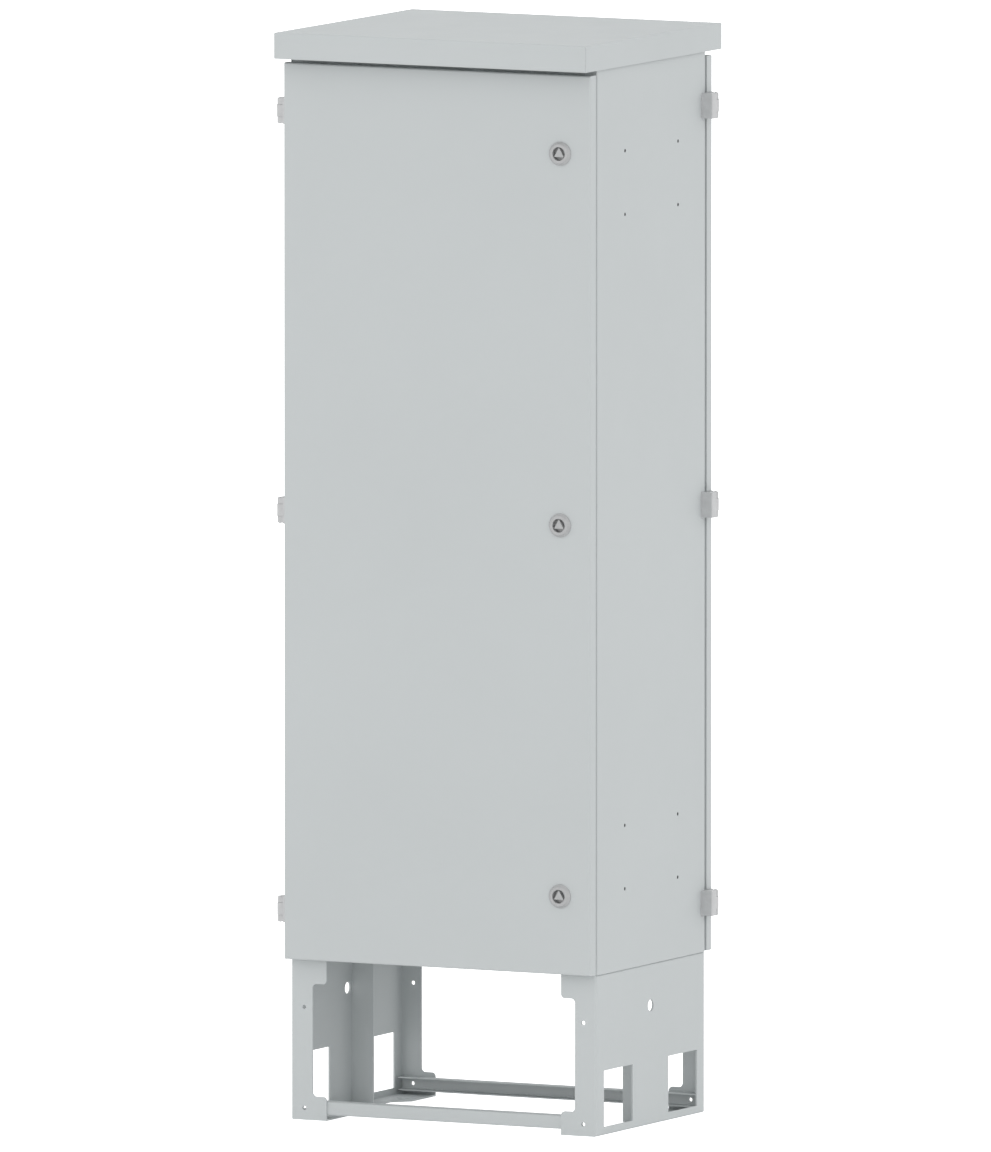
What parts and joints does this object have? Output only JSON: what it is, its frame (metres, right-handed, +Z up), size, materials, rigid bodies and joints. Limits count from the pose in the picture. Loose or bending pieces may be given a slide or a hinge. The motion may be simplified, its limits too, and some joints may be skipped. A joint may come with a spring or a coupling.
{
  "type": "roadside utility cabinet",
  "caption": "Free-standing steel street cabinet on an open plinth, with hinged front and rear doors, quarter-turn locks, an overhanging lid and 19-inch rack posts inside.",
  "frame": {"origin": "on the ground under the centre of the cabinet", "axes": "+Z up, the front door faces -Y, +X to the right seen from the front"},
  "size_m": [0.615, 0.503, 1.823],
  "materials": {
    "painted_steel": "satin light-grey powder coat with a fine texture",
    "galvanised_steel": "bright zinc coat, satin",
    "zinc_hardware": "zinc-plated, satin",
    "zinc_casting": "die-cast, satin light grey",
    "black_steel": "black-oxide steel",
    "pin_steel": "ground steel",
    "gasket_rubber": "matt EPDM rubber",
    "grommet_rubber": "matt rubber",
    "earth_brass": "satin"
  },
  "bodies": {
    "cabinet": {"roof_cover": "painted_steel", "top_panel": "painted_steel", "side_panel_left": "painted_steel", "side_panel_right": "painted_steel", "floor_panel": "painted_steel", "front_frame": "painted_steel", "rear_frame": "painted_steel", "front_gutter": "painted_steel", "rear_gutter": "painted_steel", "plinth_side_left": "painted_steel", "plinth_side_right": "painted_steel", "plinth_brace_left": "painted_steel", "plinth_brace_right": "painted_steel", "plinth_bar_front": "painted_steel", "plinth_bar_rear": "painted_steel", "roof_spacers": "galvanised_steel", "gland_plate": "galvanised_steel", "rack_post_front_left": "galvanised_steel", "rack_post_front_right": "galvanised_steel", "rack_post_rear_left": "galvanised_steel", "rack_post_rear_right": "galvanised_steel", "roof_bolts": "zinc_hardware", "gland_plate_screws": "zinc_hardware", "plinth_bolts": "zinc_hardware", "plinth_nuts": "zinc_hardware", "hinge_fixed_screws": "zinc_hardware", "front_hinge_fixed_leaves": "zinc_casting", "rear_hinge_fixed_leaves": "zinc_casting", "rack_screws": "black_steel", "cable_grommets": "grommet_rubber", "earth_stud": "earth_brass"},
    "front_door": {"front_door": "painted_steel", "front_door_stiffener": "painted_steel", "front_door_gasket": "gasket_rubber", "front_hinge_door_leaves": "zinc_casting", "front_hinge_pins": "pin_steel", "front_hinge_door_screws": "zinc_hardware", "front_lock_housings": "zinc_casting", "front_lock_nuts": "zinc_hardware"},
    "front_lock_bottom": {"front_lock_bottom_rotor": "zinc_casting", "front_lock_bottom_cam": "zinc_hardware"},
    "front_lock_middle": {"front_lock_middle_rotor": "zinc_casting", "front_lock_middle_cam": "zinc_hardware"},
    "front_lock_top": {"front_lock_top_rotor": "zinc_casting", "front_lock_top_cam": "zinc_hardware"},
    "rear_door": {"rear_door": "painted_steel", "rear_door_stiffener": "painted_steel", "rear_door_gasket": "gasket_rubber", "rear_hinge_door_leaves": "zinc_casting", "rear_hinge_pins": "pin_steel", "rear_hinge_door_screws": "zinc_hardware", "rear_lock_housings": "zinc_casting", "rear_lock_nuts": "zinc_hardware"},
    "rear_lock_bottom": {"rear_lock_bottom_rotor": "zinc_casting", "rear_lock_bottom_cam": "zinc_hardware"},
    "rear_lock_middle": {"rear_lock_middle_rotor": "zinc_casting", "rear_lock_middle_cam": "zinc_hardware"},
    "rear_lock_top": {"rear_lock_top_rotor": "zinc_casting", "rear_lock_top_cam": "zinc_hardware"}
  },
  "joints": [
    {"name": "front_door_hinge", "type": "hinge", "parent": "cabinet", "child": "front_door", "pos_m": [-0.3025, -0.2065, 1.021], "axis": [0, 0, -1], "range_deg": [0, 170]},
    {"name": "rear_door_hinge", "type": "hinge", "parent": "cabinet", "child": "rear_door", "pos_m": [0.3025, 0.2065, 1.021], "axis": [0, 0, -1], "range_deg": [0, 170]},
    {"name": "front_lock_bottom_turn", "type": "hinge", "parent": "front_door", "child": "front_lock_bottom", "pos_m": [0.2295, -0.225, 0.402], "axis": [0, -1, 0], "range_deg": [0, 90]},
    {"name": "front_lock_middle_turn", "type": "hinge", "parent": "front_door", "child": "front_lock_middle", "pos_m": [0.2295, -0.225, 1.021], "axis": [0, -1, 0], "range_deg": [0, 90]},
    {"name": "front_lock_top_turn", "type": "hinge", "parent": "front_door", "child": "front_lock_top", "pos_m": [0.2295, -0.225, 1.64], "axis": [0, -1, 0], "range_deg": [0, 90]},
    {"name": "rear_lock_bottom_turn", "type": "hinge", "parent": "rear_door", "child": "rear_lock_bottom", "pos_m": [-0.2295, 0.225, 0.402], "axis": [0, 1, 0], "range_deg": [0, 90]},
    {"name": "rear_lock_middle_turn", "type": "hinge", "parent": "rear_door", "child": "rear_lock_middle", "pos_m": [-0.2295, 0.225, 1.021], "axis": [0, 1, 0], "range_deg": [0, 90]},
    {"name": "rear_lock_top_turn", "type": "hinge", "parent": "rear_door", "child": "rear_lock_top", "pos_m": [-0.2295, 0.225, 1.64], "axis": [0, 1, 0], "range_deg": [0, 90]}
  ]
}
